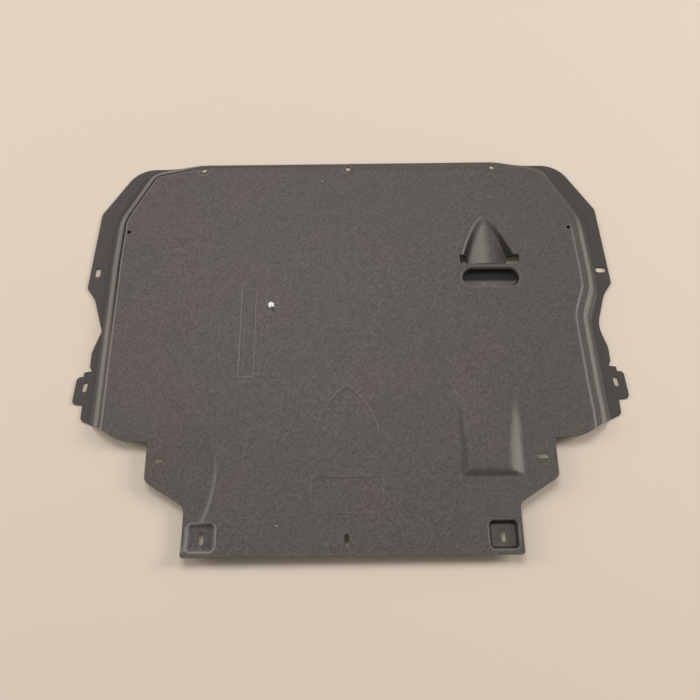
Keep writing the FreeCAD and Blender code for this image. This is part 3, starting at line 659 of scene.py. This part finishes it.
# each noise has a scale, a detail and a roughness
plastic = {
    "fineGrain": (560.0, 1.0, 0.5), "coarseGrain": (220.0, 2.0, 0.5), "cloud": (7.0, 4.0, 0.6),
    "strokes": (1.0, 1.0, 0.4), "ragged": (260.0, 2.0, 0.6), "fineShare": 0.65, "coarseShare": 0.35,
    "strokeTurn": 0.95, "strokeSize": (0.012, 0.0022, 0.012), "strokeShare": 0.12, "cloudLean": 0.3,
    "flangeTop": (0.004, 0.012), "flangeMost": 0.65, "highlightMost": 0.56, "foldMost": 0.45, "shadeMost": 0.82,
    "rough": 0.52, "roughFleck": 0.1, "roughShade": 0.4, "specular": 0.22, "bump": 0.3, "bumpHeight": 0.0004,
}
# x, y, radius and strength of the scuff and of four specks; the crack runs from the scuff to the rear
spots = (
    (-132, 63, 5.0, 1.0), (-47, 314, 1.6, 0.35), (-113, -309, 1.4, 0.35), (232, 106, 1.2, 0.35),
    (251, 101, 1.0, 0.35),
)
crack = {"x": -128.5, "y": 54, "half": 9.0, "wide": 1.1, "lean": 1.95}


def ovalAway(x, y, centre, sizes, lean):
    # 0 at the middle of a leaning oval and 1 on its border
    overX = x - centre[0] * mm
    overY = y - centre[1] * mm
    along = (overX * math.cos(lean) + overY * math.sin(lean)) / (sizes[0] * mm)
    across = (overY * math.cos(lean) - overX * math.sin(lean)) / (sizes[1] * mm)
    return x.maths("SQRT", along * along + across * across)


def makePlastic():
    material, tree, shader, place = newMaterial("shieldPlastic")
    tone = {name: linear(*colour) for name, colour in tones.items()}
    x, y, z = (place.make("ShaderNodeSeparateXYZ", {0: place}, output=axis) for axis in range(3))
    maps = ("fold", "paintedShade", "paintedHighlight")
    fold, paintedShade, paintedHighlight = (place.make("ShaderNodeAttribute", {}, "Fac", attribute_name=name) for name in maps)
    # mottle of fine grain and short strokes, warmer towards the left and in clouds
    grain = place.noise(*plastic["fineGrain"]) * plastic["fineShare"]
    grain = grain + place.noise(*plastic["coarseGrain"]) * plastic["coarseShare"]
    stroke = place.turned(plastic["strokeTurn"], plastic["strokeSize"]).noise(*plastic["strokes"])
    fleck = (grain + stroke.smooth(0.56, 0.78) * plastic["strokeShare"]).smooth(0.26, 0.76)
    cold = fleck.mixed(tone["dark"], tone["light"])
    warm = fleck.mixed(tone["warmDark"], tone["warmLight"])
    cloud = place.noise(*plastic["cloud"]) - x * plastic["cloudLean"]
    body = cloud.smooth(0.4, 0.66).mixed(cold, warm)
    body = ((1.0 - z.smooth(*plastic["flangeTop"])) * plastic["flangeMost"]).mixed(body, tone["flange"])
    # painted highlight on lit faces, painted shade in valleys and recesses, and painted highlight on ridges
    body = (paintedHighlight.smooth(0.1, 0.9) * plastic["highlightMost"]).mixed(body, tone["highlightTone"])
    body = (fold.smooth(0.08, 0.7) * plastic["foldMost"]).mixed(body, tone["shadeAndCrack"])
    body = (paintedShade.smooth(0.15, 0.85) * plastic["shadeMost"]).mixed(body, tone["shadeAndCrack"])
    body = ((0.0 - fold).smooth(0.08, 0.7) * plastic["foldMost"]).mixed(body, tone["highlightTone"])
    # white spots and the dark crack, with ragged borders
    ragged = place.noise(*plastic["ragged"]) - 0.5
    for spotX, spotY, radius, strength in spots:
        away = ovalAway(x, y, (spotX, spotY), (radius, radius), 0.0)
        mask = 1.0 - (away + ragged * 1.6).smooth(0.75, 1.0)
        body = (mask * strength).mixed(body, tone["white"])
    away = ovalAway(x, y, (crack["x"], crack["y"]), (crack["half"], crack["wide"]), crack["lean"])
    body = (1.0 - (away + ragged * 0.8).smooth(0.7, 1.0)).mixed(body, tone["shadeAndCrack"])
    tree.links.new(body.socket, shader.inputs["Base Color"])
    rough = plastic["rough"] - fleck * plastic["roughFleck"] + paintedShade * plastic["roughShade"]
    tree.links.new(rough.socket, shader.inputs["Roughness"])
    shader.inputs["Specular IOR Level"].default_value = plastic["specular"]
    relief = {"Strength": plastic["bump"], "Distance": plastic["bumpHeight"], "Height": grain}
    tree.links.new(grain.make("ShaderNodeBump", relief).socket, shader.inputs["Normal"])
    return material


# The floor: pale, plain and warm
floorTone = {"colour": (224, 208, 190), "size": 12.0, "rough": 0.7, "specular": 0.2}


def makeFloor():
    half = floorTone["size"] / 2
    mesh = bpy.data.meshes.new("floor")
    corners = [(-half, -half, 0), (half, -half, 0), (half, half, 0), (-half, half, 0)]
    mesh.from_pydata(corners, [], [(0, 1, 2, 3)])
    floor = bpy.data.objects.new("floor", mesh)
    bpy.context.scene.collection.objects.link(floor)
    material, _, shader, _ = newMaterial("floor")
    shader.inputs["Base Color"].default_value = linear(*floorTone["colour"])
    shader.inputs["Roughness"].default_value = floorTone["rough"]
    shader.inputs["Specular IOR Level"].default_value = floorTone["specular"]
    mesh.materials.append(material)


# Light: a broad lamp high in front, a low one on each side, and an even sky
lamps = [
    {"name": "main", "at": (-0.6, 2.6, 5.2), "aim": (0.0, 0.0, 0.0), "size": (3.4, 2.6), "power": 132.0},
    {"name": "right", "at": (4.2, 0.9, 2.2), "aim": (0.2, -0.1, 0.0), "size": (1.4, 1.8), "power": 112.0},
    {"name": "left", "at": (-4.0, 0.7, 1.9), "aim": (-0.2, 0.0, 0.0), "size": (1.4, 2.2), "power": 66.0},
]
sky = {"colour": (1.0, 0.985, 0.96, 1.0), "strength": 0.3}


def makeLight():
    for lamp in lamps:
        data = bpy.data.lights.new(lamp["name"], "AREA")
        data.shape = "RECTANGLE"
        data.size, data.size_y = lamp["size"]
        data.energy = lamp["power"]
        item = bpy.data.objects.new(lamp["name"], data)
        item.location = lamp["at"]
        item.rotation_euler = (Vector(lamp["aim"]) - Vector(lamp["at"])).to_track_quat("-Z", "Y").to_euler()
        bpy.context.scene.collection.objects.link(item)
    world = bpy.data.worlds.new("sky")
    world.use_nodes = True
    shader = world.node_tree.nodes["Background"]
    shader.inputs["Color"].default_value = sky["colour"]
    shader.inputs["Strength"].default_value = sky["strength"]
    bpy.context.scene.world = world


# Camera: behind the rear edge and high up, looking down on the shield
view = {"at": (0.0, -0.557, 1.221), "down": 66.0, "roll": -0.65, "lens": 41.14, "sensor": 36.0}


def makeCamera():
    data = bpy.data.cameras.new("camera")
    data.lens = view["lens"]
    data.sensor_width = view["sensor"]
    item = bpy.data.objects.new("camera", data)
    pitch = Euler((math.radians(90 - view["down"]), 0, 0)).to_matrix()
    roll = Matrix.Rotation(math.radians(view["roll"]), 3, "Z")
    item.rotation_euler = (pitch @ roll).to_euler()
    item.location = view["at"]
    bpy.context.scene.collection.objects.link(item)
    bpy.context.scene.camera = item


shield = makeSheet()
shield.data.materials.append(makePlastic())
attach(shield, "root")
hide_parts("splash_shield")
makeFloor()
makeLight()
makeCamera()
bpy.context.scene.view_settings.view_transform = "Standard"
print("materials, floor, light and camera made")
